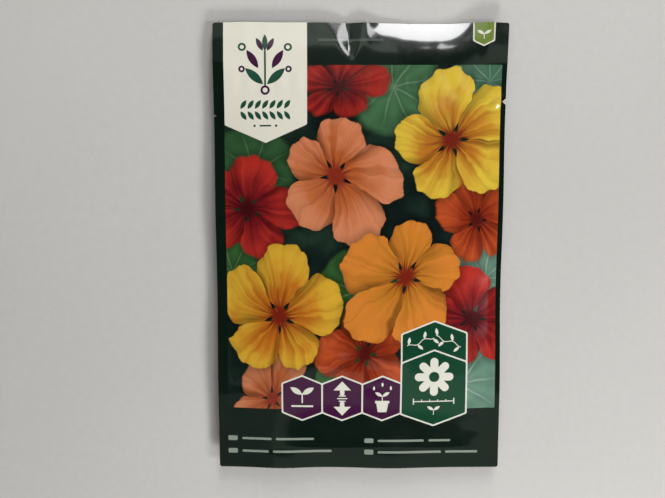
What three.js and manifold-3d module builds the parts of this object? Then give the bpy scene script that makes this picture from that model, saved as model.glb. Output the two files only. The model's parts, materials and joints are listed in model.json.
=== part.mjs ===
// A sealed seed packet that lies on its back: two printed films, welded round a pocket of loose seeds.
// Millimetres. +X runs to the right edge, +Y to the header and +Z out of the printed front.
import * as THREE from "three";
import { mergeVertices } from "three/addons/utils/BufferGeometryUtils.js";
import Module from "manifold-3d";

// Films
const WIDTH = 108;
const LENGTH = 168;
const FILM = 0.15; // thickness of each film
const WELD_GAP = 0.04; // left between the two films where they are welded
const CORNER_RADIUS = 0.8;
const EDGE_BOW = 0.6; // how far the filled pocket draws the right edge in

// Welds round the pocket
const SIDE_WELD = 5;
const BOTTOM_WELD = 8;
const HEADER = 16;

// Pocket
const WELD_HEIGHT = 4.2; // height of the welds above the surface that the packet lies on
const FRONT_RISE = 4.2; // how far the front film swells above the welds
const BACK_PRESS = 1.35; // how much further the back film would sag if it met no surface
const FULLEST_Y = -22;
const ACROSS_POWER = 2.4;
const LOWER_POWER = 2.2;
const UPPER_POWER = 1.8;

// Waves and curl of the welds
const CURL_EVEN = { depth: 2.1, power: 1.4 }; // how the whole header curls down behind the packet
const CURL_BOWL = { depth: 1.85, power: 2.5, rise: [-1.5, 12], fall: [28, 50] }; // deeper in one place
const FOLD = { top: -9.5, foot: -2, width: 3, depth: 1 }; // pinched in beside that place
const BOTTOM_LOBES = [
  { x: -30, width: 11, height: 1.2 },
  { x: 12, width: 15, height: 1.1 },
];
const LOBE_REACH = 14; // how far up from the bottom edge the lobes are felt
const SIDE_WAVE = 0.4;
const SIDE_WAVE_LENGTH = 62;

// Tear notches: how far down from the top edge each sits, its depth and its half height
const LEFT_NOTCH = { down: 34, depth: 1, half: 0.6 };
const RIGHT_NOTCH = { down: 28, depth: 2, half: 1.1 };

// Seeds
const SEED_COUNT = 24;
const SEED_RADII = new THREE.Vector3(3.9, 3.5, 3.3);
const SEED_RIDGES = 5;
const SEED_RIDGE_DEPTH = 0.07;
const SEED_SPREAD = 4.65; // spacing of the spiral that scatters the seeds
const SEED_STRETCH = 1.3; // the scatter is this much longer than wide
const SEED_CLEARANCE = 0.1; // from the back film

// Grid of each film
const TRIM = 1.5; // the raw sheet is this much larger on each side than the cut film
const FOLD_SPAN = [-15, 5]; // where the columns are closer together
const COLUMNS = { weld: 1, leftPocket: 8, fold: 9, rightPocket: 10 };
const ROWS = { header: 6, pocket: 26, bottomWeld: 2 };

const wasm = await Module();
wasm.setup();

const RIGHT = WIDTH / 2;
const TOP = LENGTH / 2;
const POCKET_SIDE = RIGHT - SIDE_WELD;
const POCKET_TOP = TOP - HEADER;
const POCKET_BOTTOM = -TOP + BOTTOM_WELD;

// A small seeded generator (mulberry32), so that the seeds lie alike in every run.
function seededRandom(seed) {
  let state = seed;
  return () => {
    state = (state + 0x6d2b79f5) | 0;
    let t = Math.imul(state ^ (state >>> 15), 1 | state);
    t = (t + Math.imul(t ^ (t >>> 7), 61 | t)) ^ t;
    return ((t ^ (t >>> 14)) >>> 0) / 2 ** 32;
  };
}

// The pocket's fullness: 0 along the welds and 1 over the middle of the seeds.
function fullness(x, y) {
  const below = y < FULLEST_Y;
  const reach = below ? FULLEST_Y - POCKET_BOTTOM : POCKET_TOP - FULLEST_Y;
  const across = 1 - Math.abs(x / POCKET_SIDE) ** ACROSS_POWER;
  const along = 1 - (Math.abs(y - FULLEST_Y) / reach) ** (below ? LOWER_POWER : UPPER_POWER);
  return Math.max(0, across) * Math.max(0, along);
}

// How far the header has curled down: a little all along, deeply in a bowl and sharply along a fold.
function headerCurl(x, intoHeader) {
  const { smoothstep, lerp } = THREE.MathUtils;
  const inBowl = smoothstep(x, ...CURL_BOWL.rise) * (1 - smoothstep(x, ...CURL_BOWL.fall));
  const even = CURL_EVEN.depth * intoHeader ** CURL_EVEN.power;
  const bowl = CURL_BOWL.depth * inBowl * intoHeader ** CURL_BOWL.power;
  const foldX = lerp(FOLD.foot, FOLD.top, intoHeader);
  const foldWidth = FOLD.width * lerp(0.4, 1, intoHeader);
  const pinch = FOLD.depth * Math.exp(-(((x - foldX) / foldWidth) ** 2));
  return even + bowl + pinch * smoothstep(intoHeader, 0, 0.8);
}

// Height of the surface along which the films are welded, with its curl and waves.
function weldHeight(x, y) {
  const intoHeader = THREE.MathUtils.clamp((y - POCKET_TOP) / HEADER, 0, 1);
  const nearBottom = Math.exp(-(((y + TOP) / LOBE_REACH) ** 2));
  const lobes = BOTTOM_LOBES.reduce(
    (sum, lobe) => sum + lobe.height * Math.exp(-(((x - lobe.x) / lobe.width) ** 2)),
    0,
  );
  const sideWave = SIDE_WAVE * Math.sin((2 * Math.PI * y) / SIDE_WAVE_LENGTH) * (x / RIGHT) ** 4;
  const flatten = 1 - intoHeader;
  return WELD_HEIGHT - headerCurl(x, intoHeader) + lobes * nearBottom + sideWave * flatten;
}

// Lower faces of the two films.
function frontFloor(x, y) {
  return weldHeight(x, y) + WELD_GAP / 2 + FRONT_RISE * fullness(x, y);
}

function backFloor(x, y) {
  const free = weldHeight(x, y) - WELD_GAP / 2 - FILM;
  return Math.max(0, free - WELD_HEIGHT * BACK_PRESS * fullness(x, y));
}

// Evenly spaced stations through a list of stops, with a number of steps between each two.
function stations(stops, steps) {
  const places = [stops[0]];
  steps.forEach((count, i) => {
    for (let step = 1; step <= count; step += 1) {
      places.push(THREE.MathUtils.lerp(stops[i], stops[i + 1], step / count));
    }
  });
  return places;
}

// A closed sheet of one film's thickness, whose two faces are split into triangles alike.
function rawSheet(floor) {
  const side = RIGHT + TRIM;
  const end = TOP + TRIM;
  const xs = stations(
    [-side, -POCKET_SIDE, ...FOLD_SPAN, POCKET_SIDE, side],
    [COLUMNS.weld, COLUMNS.leftPocket, COLUMNS.fold, COLUMNS.rightPocket, COLUMNS.weld],
  );
  const ys = stations(
    [end, POCKET_TOP, POCKET_BOTTOM, -end],
    [ROWS.header, ROWS.pocket, ROWS.bottomWeld],
  );
  const plane = new THREE.PlaneGeometry(1, 1, xs.length - 1, ys.length - 1);
  const lower = ys.flatMap((y) => xs.map((x) => [x, y, floor(x, y)]));
  const upper = lower.map(([x, y, z]) => [x, y, z + FILM]);
  const face = Array.from(plane.index.array);
  const index = [...face];
  for (let i = 0; i < face.length; i += 3) {
    index.push(...[face[i + 2], face[i + 1], face[i]].map((vertex) => vertex + upper.length));
  }
  const rim = rimOf(xs.length, ys.length);
  rim.forEach((a, i) => {
    const b = rim[(i + 1) % rim.length];
    index.push(a, a + upper.length, b + upper.length, a, b + upper.length, b);
  });
  const sheet = new THREE.BufferGeometry();
  sheet.setAttribute("position", new THREE.Float32BufferAttribute([...upper, ...lower].flat(), 3));
  sheet.setIndex(index);
  return sheet;
}

// The grid's border vertices in anticlockwise order, seen from above, where row 0 is the top edge.
function rimOf(columns, rows) {
  const rim = [];
  for (let row = 0; row < rows - 1; row += 1) rim.push(row * columns);
  for (let column = 0; column < columns - 1; column += 1) rim.push((rows - 1) * columns + column);
  for (let row = rows - 1; row > 0; row -= 1) rim.push(row * columns + columns - 1);
  for (let column = columns - 1; column > 0; column -= 1) rim.push(column);
  return rim;
}

// The cut outline: rounded corners, a V notch in each side edge and a slightly drawn-in right edge.
function outline() {
  const r = CORNER_RADIUS;
  const leftY = TOP - LEFT_NOTCH.down;
  const rightY = TOP - RIGHT_NOTCH.down;
  const shape = new THREE.Shape();
  shape.moveTo(-RIGHT + r, -TOP);
  shape.lineTo(RIGHT - r, -TOP);
  shape.absarc(RIGHT - r, -TOP + r, r, -Math.PI / 2, 0);
  const bowed = RIGHT - EDGE_BOW;
  shape.quadraticCurveTo(bowed - EDGE_BOW, (rightY - TOP) / 2, bowed, rightY - RIGHT_NOTCH.half);
  shape.lineTo(RIGHT - RIGHT_NOTCH.depth, rightY);
  shape.lineTo(bowed, rightY + RIGHT_NOTCH.half);
  shape.lineTo(RIGHT, TOP - r);
  shape.absarc(RIGHT - r, TOP - r, r, 0, Math.PI / 2);
  shape.lineTo(-RIGHT + r, TOP);
  shape.absarc(-RIGHT + r, TOP - r, r, Math.PI / 2, Math.PI);
  shape.lineTo(-RIGHT, leftY + LEFT_NOTCH.half);
  shape.lineTo(-RIGHT + LEFT_NOTCH.depth, leftY);
  shape.lineTo(-RIGHT, leftY - LEFT_NOTCH.half);
  shape.absarc(-RIGHT + r, -TOP + r, r, Math.PI, (3 * Math.PI) / 2);
  return shape;
}

function toSolid(geometry) {
  const bare = geometry.clone();
  bare.deleteAttribute("normal");
  bare.deleteAttribute("uv");
  const merged = mergeVertices(bare);
  return new wasm.Manifold(
    new wasm.Mesh({
      numProp: 3,
      vertProperties: merged.attributes.position.array,
      triVerts: new Uint32Array(merged.index.array),
    }),
  );
}

function toGeometry(solid) {
  const { vertProperties, triVerts } = solid.getMesh();
  const geometry = new THREE.BufferGeometry();
  geometry.setAttribute("position", new THREE.BufferAttribute(vertProperties, 3));
  geometry.setIndex(new THREE.BufferAttribute(triVerts, 1));
  geometry.computeVertexNormals();
  return geometry;
}

// A film cut from its raw sheet along the outline.
function filmGeometry(floor) {
  const reach = 4 * (WELD_HEIGHT + FRONT_RISE);
  const cutter = new THREE.ExtrudeGeometry(outline(), {
    depth: reach,
    bevelEnabled: false,
    curveSegments: 4,
  });
  cutter.translate(0, 0, -reach / 2);
  return toGeometry(toSolid(rawSheet(floor)).intersect(toSolid(cutter)));
}

// One wrinkled seed round the origin: a blunt three-sided lump with ridges from end to end.
function seedGeometry(random) {
  const geometry = new THREE.IcosahedronGeometry(1, 2);
  const size = 0.94 + 0.1 * random();
  const turn = random() * 2 * Math.PI;
  const point = new THREE.Vector3();
  const { position } = geometry.attributes;
  for (let i = 0; i < position.count; i += 1) {
    point.fromBufferAttribute(position, i);
    const around = Math.atan2(point.z, point.y) + turn;
    const waist = 1 - point.x ** 2;
    const ridges = SEED_RIDGE_DEPTH * Math.cos(SEED_RIDGES * around) * waist;
    const threeSided = 0.06 * Math.cos(3 * around) * waist;
    point.multiplyScalar(size * (1 + ridges + threeSided)).multiply(SEED_RADII);
    position.setXYZ(i, point.x, point.y, point.z);
  }
  geometry.deleteAttribute("normal");
  geometry.deleteAttribute("uv");
  return mergeVertices(geometry);
}

// A seed turned as it fell, in a sunflower-like scatter, resting on the back film.
function seedMesh(number, random) {
  const mesh = new THREE.Mesh(seedGeometry(random), finish(0x8a6f4a, 0.85));
  mesh.name = `seed_${String(number).padStart(2, "0")}`;
  const angle = number * Math.PI * (3 - Math.sqrt(5));
  const radius = SEED_SPREAD * Math.sqrt(number - 0.5);
  mesh.rotation.set(random() * 2 * Math.PI, (random() - 0.5) * 0.5, random() * 2 * Math.PI, "ZYX");
  mesh.updateMatrix();
  const box = new THREE.Box3().setFromBufferAttribute(
    mesh.geometry.clone().applyMatrix4(mesh.matrix).attributes.position,
  );
  const x = radius * Math.cos(angle);
  const y = FULLEST_Y + radius * SEED_STRETCH * Math.sin(angle);
  mesh.position.set(x, y, backFloor(x, y) + FILM + SEED_CLEARANCE - box.min.z);
  return mesh;
}

function finish(color, roughness) {
  return new THREE.MeshStandardMaterial({ color, roughness, metalness: 0 });
}

function filmMesh(name, floor) {
  const mesh = new THREE.Mesh(filmGeometry(floor), finish(0x1c2e24, 0.3));
  mesh.name = name;
  return mesh;
}

const packet = new THREE.Group();
packet.add(filmMesh("front_film", frontFloor), filmMesh("back_film", backFloor));
const random = seededRandom(7);
for (let number = 1; number <= SEED_COUNT; number += 1) {
  packet.add(seedMesh(number, random));
}

export default packet;
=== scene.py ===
import json
import math

import bpy
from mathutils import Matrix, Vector, noise

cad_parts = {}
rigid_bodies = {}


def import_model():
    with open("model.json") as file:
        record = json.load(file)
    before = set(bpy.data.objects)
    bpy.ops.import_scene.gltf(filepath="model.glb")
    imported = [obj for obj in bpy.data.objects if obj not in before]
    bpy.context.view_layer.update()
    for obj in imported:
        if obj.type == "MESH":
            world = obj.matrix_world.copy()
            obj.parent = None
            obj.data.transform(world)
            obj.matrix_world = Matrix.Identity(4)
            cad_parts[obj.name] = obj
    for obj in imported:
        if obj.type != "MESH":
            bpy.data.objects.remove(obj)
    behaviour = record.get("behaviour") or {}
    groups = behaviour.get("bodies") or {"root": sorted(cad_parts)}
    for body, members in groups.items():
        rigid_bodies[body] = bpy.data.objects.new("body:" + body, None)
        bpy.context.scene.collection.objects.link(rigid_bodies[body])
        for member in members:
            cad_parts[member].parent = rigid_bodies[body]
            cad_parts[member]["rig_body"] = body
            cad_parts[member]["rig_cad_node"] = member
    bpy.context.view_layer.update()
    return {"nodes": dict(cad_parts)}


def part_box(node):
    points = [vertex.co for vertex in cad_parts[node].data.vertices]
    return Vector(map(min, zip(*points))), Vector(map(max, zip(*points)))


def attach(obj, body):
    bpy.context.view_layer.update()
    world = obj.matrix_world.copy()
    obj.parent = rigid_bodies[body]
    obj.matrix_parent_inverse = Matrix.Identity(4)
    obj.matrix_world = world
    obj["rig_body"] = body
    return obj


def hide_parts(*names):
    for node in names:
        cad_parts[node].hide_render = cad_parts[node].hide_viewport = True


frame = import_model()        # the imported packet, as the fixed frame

mm = 0.001
fullTurn = 2 * math.pi

# the cut size of both films, and where each seed lies, as the frame gives them
filmLow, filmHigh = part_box("front_film")
packetWidth = filmHigh.x - filmLow.x
packetLength = filmHigh.y - filmLow.y
rightEdge = packetWidth / 2
topEdge = packetLength / 2
seedNames = sorted(name for name in frame["nodes"] if name.startswith("seed_"))
seedSpots = [(sum(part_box(name), Vector()) / 2).xy for name in seedNames]


def deselectAll():
    for other in bpy.context.selected_objects:
        other.select_set(False)


def pick(piece):
    deselectAll()
    piece.select_set(True)
    bpy.context.view_layer.objects.active = piece


def newPiece(name):
    piece = bpy.context.active_object
    piece.name = name
    piece.data.name = name
    return piece


def finishModifier(piece, kind, **settings):
    pick(piece)
    modifier = piece.modifiers.new(kind.title(), kind)
    for setting, value in settings.items():
        setattr(modifier, setting, value)
    bpy.ops.object.modifier_apply(modifier=modifier.name)


def settle(piece):
    pick(piece)
    bpy.ops.object.transform_apply(location=True, rotation=True, scale=True)


def pushBy(piece, label, amount, shareAt, axis="Z"):
    # weights painted by a formula, then a Displace along one axis of that many metres
    leastShare = 0.0005
    weights = piece.vertex_groups.new(name=label)
    for vertex in piece.data.vertices:
        share = shareAt(vertex.co.x, vertex.co.y)
        if share > leastShare:
            weights.add([vertex.index], min(share, 1), "REPLACE")
    finishModifier(piece, "DISPLACE", direction=axis, strength=amount, mid_level=0, vertex_group=label)
    piece.vertex_groups.remove(piece.vertex_groups[label])


def dress(piece, material):
    # a boolean leaves an empty slot behind, so the slots are emptied first
    piece.data.materials.clear()
    piece.data.materials.append(material)


def hump(distance, width):
    return math.exp(-((distance / width) ** 2))


def smooth(share):
    share = max(0.0, min(1.0, share))
    return share * share * (3 - 2 * share)


def between(place, span):
    # eases from 0 at the start of the span to 1 at its end
    return smooth((place - span[0]) / (span[1] - span[0]))


def drift(x, y, scale, own=0.0):
    # slow noise from 0 to 1, with features about as wide as the scale
    return 0.5 + 0.5 * noise.noise(Vector((x / scale, y / scale, own)))


def waves(place, wrinkle, shift):
    # ripples from 0 to 1 at the wrinkle's pitch, put out of step by the shift
    return 0.5 + 0.5 * math.sin(fullTurn * place / wrinkle["pitch"] + wrinkle["sway"] * shift)


# the packet's form
pouch = {
    "film": 0.15 * mm,
    "weldGap": 0.04 * mm,
    "cell": 0.85 * mm,
    "cornerRadius": 0.8 * mm,
    "cornerSteps": 6,
    "smoothUpTo": math.radians(40),
    "sideWeld": 5 * mm,
    "bottomWeld": 8 * mm,
    "header": 16 * mm,
    "weldHeight": 4.2 * mm,
    "frontRise": 4.2 * mm,
    "backPress": 1.35,
    "floorGap": 0.03 * mm,
    "fullestY": -22 * mm,
    "acrossPower": 2.4,
    "lowerPower": 2.2,
    "upperPower": 2.3,
    "lobes": [(-30 * mm, 11 * mm, 1.2 * mm), (12 * mm, 15 * mm, 1.1 * mm)],
    "lobeReach": 14 * mm,
    "sideWave": 0.4 * mm,
    "sideWaveLength": 62 * mm,
    "edgePower": 4,
    "rightBow": 0.95 * mm,
    "leftBow": 0.35 * mm,
    "bowRise": 80 * mm,
    "bowFall": 32 * mm,
    "bowPast": 10 * mm,
    "headerDrop": 0.36 * mm,
    "dropSpan": (-44 * mm, -26 * mm),
    "dropPower": 2,
    "leftCornerDrop": 0.4 * mm,
    "rightCornerDrop": 0.65 * mm,
}
# how the header curls back: a little all along, less so at its right end, and deeply in a bowl that
# starts beside a pinched fold, whose crease runs up from its foot and whose left side is the long one
curl = {
    "even": 2.1 * mm,
    "evenPower": 1.4,
    "bowl": 1.9 * mm,
    "bowlPower": 2.5,
    "bowlRise": (1 * mm, 9 * mm),
    "bowlFall": (28 * mm, 48 * mm),
    "bowlLean": (7 * mm, 23 * mm),
    "leanShare": 0.6,
    "flatEnd": (34 * mm, 50 * mm),
    "endShare": 0.42,
    "deepest": 4.0 * mm,
    "pleat": 0.04 * mm,
    "pleatPitch": 9 * mm,
    "pleatSway": 6,
}
fold = {
    "foot": -2.8 * mm,
    "top": -4.4 * mm,
    "depth": 1.15 * mm,
    "deepBy": 0.6,
    "narrow": 1.2 * mm,
    "wide": 8.8 * mm,
    "shortSide": 0.85,
    "longPower": 1.3,
    "shortPower": 2,
}
# small unevenness: puckers along the side welds, creases below the header, seeds felt through the film
wrinkles = {
    "pucker": {"height": 0.22 * mm, "pitch": 8.5 * mm, "sway": 7, "drift": 30 * mm, "inwards": 3.5 * mm,
               "reach": 5 * mm, "patch": 25 * mm, "lowEase": 12 * mm, "highEase": 8 * mm},
    "crease": {"height": 0.16 * mm, "pitch": 6.5 * mm, "sway": 8, "drift": 26 * mm, "below": 6 * mm,
               "reach": 5 * mm, "ease": 5 * mm},
    "seedLump": {"height": 0.3 * mm, "width": 3.6 * mm},
    "slack": {"height": 0.25 * mm, "drift": 32 * mm, "ease": 15 * mm},
}
# the film buckles beside the right notch
buckle = {
    "at": Vector((rightEdge - 3.7 * mm, topEdge - 29.9 * mm)),
    "lean": math.radians(48),
    "long": 2.8 * mm,
    "wide": 1.25 * mm,
    "height": 0.84 * mm,
}
notches = {
    "left": {"x": -rightEdge, "down": 34 * mm, "depth": 1.0 * mm, "half": 0.6 * mm},
    "right": {"x": rightEdge, "down": 29 * mm, "depth": 1.4 * mm, "half": 1.1 * mm},
    "nick": {"x": 17.6 * mm, "down": 0, "depth": 0.3 * mm, "half": 0.5 * mm},
}
pocketSide = rightEdge - pouch["sideWeld"]
pocketTop = topEdge - pouch["header"]
pocketBottom = -topEdge + pouch["bottomWeld"]


def fullness(x, y):
    below = y < pouch["fullestY"]
    reach = pouch["fullestY"] - pocketBottom if below else pocketTop - pouch["fullestY"]
    power = pouch["lowerPower"] if below else pouch["upperPower"]
    across = 1 - abs(x / pocketSide) ** pouch["acrossPower"]
    along = 1 - abs((y - pouch["fullestY"]) / reach) ** power
    return max(0, across) * max(0, along)


def intoHeader(y):
    return max(0, min(1, (y - pocketTop) / pouch["header"]))


def foldDepth(x, into):
    crease = fold["foot"] + (fold["top"] - fold["foot"]) * into
    share = (x - crease) / (fold["narrow"] + (fold["wide"] - fold["narrow"]) * into)
    if share < 0:
        side = max(0, 1 + share) ** fold["longPower"]
    else:
        side = max(0, 1 - share / fold["shortSide"]) ** fold["shortPower"]
    return fold["depth"] * side * smooth(into / fold["deepBy"])


def cutSheet(name):
    # a flat sheet of small cells, given its thickness, then cut to the rounded outline with its notches
    margin = 2 * pouch["cell"]
    deselectAll()
    bpy.ops.mesh.primitive_grid_add(
        x_subdivisions=round((packetWidth + 2 * margin) / pouch["cell"]),
        y_subdivisions=round((packetLength + 2 * margin) / pouch["cell"]),
        size=1,
    )
    sheet = newPiece(name)
    bpy.ops.object.mode_set(mode="EDIT")
    bpy.ops.transform.resize(value=(packetWidth + 2 * margin, packetLength + 2 * margin, 1))
    bpy.ops.mesh.select_all(action="SELECT")
    bpy.ops.mesh.extrude_region_move(TRANSFORM_OT_translate={"value": (0, 0, pouch["film"])})
    bpy.ops.mesh.select_all(action="SELECT")
    bpy.ops.mesh.normals_make_consistent(inside=False)
    bpy.ops.object.mode_set(mode="OBJECT")
    for operation, cutter in outlineCutters():
        finishModifier(sheet, "BOOLEAN", operation=operation, object=cutter, solver="MANIFOLD")
        bpy.data.objects.remove(cutter)
    # the print is laid on while the sheet is flat, so each point keeps where it was
    flat = sheet.data.attributes.new("flat", "FLOAT_VECTOR", "POINT")
    for vertex, stored in zip(sheet.data.vertices, flat.data):
        stored.vector = vertex.co
    return sheet


def outlineCutters():
    # a block with rounded upright edges keeps the film, and diamonds cut the side notches and the nick
    tall = 20 * mm
    deselectAll()
    bpy.ops.mesh.primitive_cube_add(size=1)
    die = newPiece("die")
    die.scale = (packetWidth, packetLength, tall)
    settle(die)
    bpy.ops.object.mode_set(mode="EDIT")
    bpy.ops.mesh.select_mode(type="EDGE")
    bpy.ops.mesh.select_all(action="DESELECT")
    bpy.ops.object.mode_set(mode="OBJECT")
    for edge in die.data.edges:
        a, b = (die.data.vertices[i].co for i in edge.vertices)
        edge.select = abs(a.z - b.z) > tall / 2
    bpy.ops.object.mode_set(mode="EDIT")
    bpy.ops.mesh.bevel(offset=pouch["cornerRadius"], segments=pouch["cornerSteps"], affect="EDGES")
    bpy.ops.object.mode_set(mode="OBJECT")
    yield "INTERSECT", die
    for name, notch in notches.items():
        deselectAll()
        bpy.ops.mesh.primitive_cylinder_add(vertices=4, radius=1, depth=tall)
        diamond = newPiece(name + "Diamond")
        diamond.scale = (notch["depth"], notch["half"], 1)
        diamond.location = (notch["x"], topEdge - notch["down"], 0)
        settle(diamond)
        yield "DIFFERENCE", diamond


def shapeWeld(film):
    # what both films share: the curled header that comes down, the bottom edge's lobes, the waves and
    # the bow of the sides, and the buckle
    lobeHigh = max(height for _, _, height in pouch["lobes"])

    def curled(x, y):
        into = intoHeader(y)
        bowl = between(x, curl["bowlRise"]) * (1 - between(x, curl["bowlFall"]))
        bowl *= curl["leanShare"] + (1 - curl["leanShare"]) * between(x, curl["bowlLean"])
        end = 1 - (1 - curl["endShare"]) * between(x, curl["flatEnd"])
        deep = curl["even"] * end * into ** curl["evenPower"]
        deep += curl["bowl"] * bowl * into ** curl["bowlPower"]
        sway = curl["pleatSway"] * drift(x, 0, curl["pleatPitch"])
        pleats = curl["pleat"] * math.sin(fullTurn * x / curl["pleatPitch"] + sway) * into
        return (deep + foldDepth(x, into) + pleats) / curl["deepest"]

    def lobes(x, y):
        near = hump(y + topEdge, pouch["lobeReach"])
        high = sum(height * hump(x - place, width) for place, width, height in pouch["lobes"])
        return near * high / lobeHigh

    def wave(x, y, sign):
        swing = sign * math.sin(fullTurn * y / pouch["sideWaveLength"])
        return swing * (x / rightEdge) ** pouch["edgePower"] * (1 - intoHeader(y))

    def buckled(x, y):
        away = Vector((x, y)) - buckle["at"]
        along = away.x * math.cos(buckle["lean"]) + away.y * math.sin(buckle["lean"])
        across = away.y * math.cos(buckle["lean"]) - away.x * math.sin(buckle["lean"])
        return hump(along, buckle["long"]) * hump(across, buckle["wide"])

    def drawnIn(x, y):
        # a long bow from the bottom corner, most above the middle and less at the header
        rise = smooth((y + topEdge) / pouch["bowRise"])
        fall = smooth((topEdge + pouch["bowPast"] - y) / pouch["bowFall"])
        return rise * fall * smooth(x / rightEdge)

    def dropped(x, y):
        return between(x, pouch["dropSpan"]) * intoHeader(y) ** pouch["dropPower"]

    def cornered(x, y):
        return max(0, x / rightEdge) ** pouch["edgePower"] * intoHeader(y) ** pouch["dropPower"]

    pushBy(film, "curl", -curl["deepest"], curled)
    pushBy(film, "lobes", lobeHigh, lobes)
    pushBy(film, "waveUp", pouch["sideWave"], lambda x, y: wave(x, y, 1))
    pushBy(film, "waveDown", -pouch["sideWave"], lambda x, y: wave(x, y, -1))
    pushBy(film, "buckle", buckle["height"], buckled)
    pushBy(film, "rightDrawnIn", -pouch["rightBow"], drawnIn, "X")
    pushBy(film, "leftDrawnIn", pouch["leftBow"], lambda x, y: drawnIn(-x, y), "X")
    # what curls back also comes down, by the length that the bend takes up
    pushBy(film, "drop", -pouch["headerDrop"], dropped, "Y")
    for side, sign in (("left", -1), ("right", 1)):
        pushBy(film, side + "Corner", -pouch[side + "CornerDrop"], lambda x, y: cornered(x * sign, y), "Y")


def shapeWrinkles(film):
    # the film is taut over the seeds and slack towards its welds
    pucker, crease, lump, slack = wrinkles.values()

    def puckered(x, y):
        inwards = rightEdge - abs(x) - pouch["sideWeld"]
        ripple = waves(y, pucker, drift(x, y, pucker["drift"], own=2))
        length = smooth((y - pocketBottom) / pucker["lowEase"])
        length *= smooth((pocketTop - y) / pucker["highEase"])
        near = hump(inwards - pucker["inwards"], pucker["reach"])
        return ripple * near * length * drift(x, y, pucker["patch"], own=5)

    def creased(x, y):
        ripple = waves(x, crease, drift(x, y, crease["drift"], own=3))
        below = pocketTop - y
        return ripple * hump(below - crease["below"], crease["reach"]) * smooth(below / crease["ease"])

    def overSeeds(x, y):
        reach = 3 * lump["width"]        # past it, a lump has died away
        near = [spot for spot in seedSpots if abs(spot.x - x) < reach and abs(spot.y - y) < reach]
        return sum(hump((Vector((x, y)) - spot).length, lump["width"]) for spot in near)

    def slackened(x, y):
        inside = smooth((pocketSide - abs(x)) / slack["ease"]) * smooth((pocketTop - y) / slack["ease"])
        return drift(x, y, slack["drift"], own=8) * inside * smooth((y - pocketBottom) / slack["ease"])

    for label, shareAt in zip(wrinkles, (puckered, creased, overSeeds, slackened)):
        pushBy(film, label, wrinkles[label]["height"], shareAt)


# where the bake map has each face of a film, as the start and the width of its share of the map
bakeMap = {"printed": (0.004, 0.885), "other": (0.9, 0.095), "along": (0.004, 0.992), "flattest": 0.3}


def layOut(film, faceUp):
    # the printed face fills most of the map, and the other face and the rim share a strip beside it
    sheet = film.data.uv_layers.new(name="OFBake")
    film.data.uv_layers.active = sheet
    low, long = bakeMap["along"]
    for face in film.data.polygons:
        level = abs(face.normal.z) > bakeMap["flattest"]
        printed = level and (face.normal.z > 0) == faceUp
        left, wide = bakeMap["printed" if printed else "other"]
        for loop in face.loop_indices:
            corner = film.data.vertices[film.data.loops[loop].vertex_index].co
            across = (corner.x + rightEdge) / packetWidth
            along = (corner.y + topEdge) / packetLength
            sheet.data[loop].uv = (left + across * wide, low + along * long)


def finishFilm(film, node, faceUp):
    layOut(film, faceUp)
    pick(film)
    bpy.ops.object.shade_smooth_by_angle(angle=pouch["smoothUpTo"])
    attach(film, "root")
    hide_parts(node)
    print(film.name + ":", len(film.data.polygons), "faces")


def makeFilms():
    # both films are cut from one flat sheet, and then each is shaped
    frontFilm = cutSheet("frontFilm")
    pick(frontFilm)
    bpy.ops.object.duplicate(linked=False)
    backFilm = newPiece("backFilm")

    pushBy(frontFilm, "lift", pouch["weldHeight"] + pouch["weldGap"] / 2, lambda x, y: 1)
    shapeWeld(frontFilm)
    pushBy(frontFilm, "pocket", pouch["frontRise"], fullness)
    shapeWrinkles(frontFilm)
    finishFilm(frontFilm, "front_film", True)

    room = pouch["weldHeight"] - pouch["weldGap"] / 2 - pouch["film"]
    pushBy(backFilm, "lift", room, lambda x, y: 1)
    shapeWeld(backFilm)
    pushBy(backFilm, "pocket", pouch["floorGap"] - room, lambda x, y: fullness(x, y) * pouch["backPress"])
    finishFilm(backFilm, "back_film", False)
    return frontFilm, backFilm


frontFilm, backFilm = makeFilms()


# the seeds: each keeps the place and the lie of its CAD node, rounded and wrinkled like a dry husk
husk = {"merge": 0.01 * mm, "levels": 2, "wrinkle": 0.32 * mm, "wrinkleSize": 1.5 * mm, "middle": 0.8}


def makeSeed(number, name):
    pick(frame["nodes"][name])
    bpy.ops.object.duplicate(linked=False)
    seed = newPiece("seedHusk" + str(number))
    bpy.ops.object.mode_set(mode="EDIT")
    bpy.ops.mesh.select_all(action="SELECT")
    bpy.ops.mesh.remove_doubles(threshold=husk["merge"])
    bpy.ops.object.mode_set(mode="OBJECT")
    finishModifier(seed, "SUBSURF", levels=husk["levels"], render_levels=husk["levels"])
    net = bpy.data.textures.new("huskNet", "VORONOI")
    net.noise_scale = husk["wrinkleSize"]
    finishModifier(seed, "DISPLACE", texture=net, texture_coords="LOCAL", strength=husk["wrinkle"],
                   mid_level=husk["middle"])
    bpy.data.textures.remove(net)
    bpy.ops.object.shade_smooth()
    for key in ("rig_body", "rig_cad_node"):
        del seed[key]
    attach(seed, "root")
    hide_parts(name)
    return seed


seeds = [makeSeed(number + 1, name) for number, name in enumerate(seedNames)]
print("seeds:", len(seeds), "with", len(seeds[0].data.polygons), "faces each")


# patterns are written as arithmetic on wires, where each operation is one node. Each node is added
# after the ones that feed it, and shapes take plain numbers, not vectors, so that the long chain of
# print stays within what Cycles can hold.

def newNode(tree, kind, **settings):
    node = tree.nodes.new("ShaderNode" + kind)
    for setting, value in settings.items():
        setattr(node, setting, value)
    return node


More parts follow.
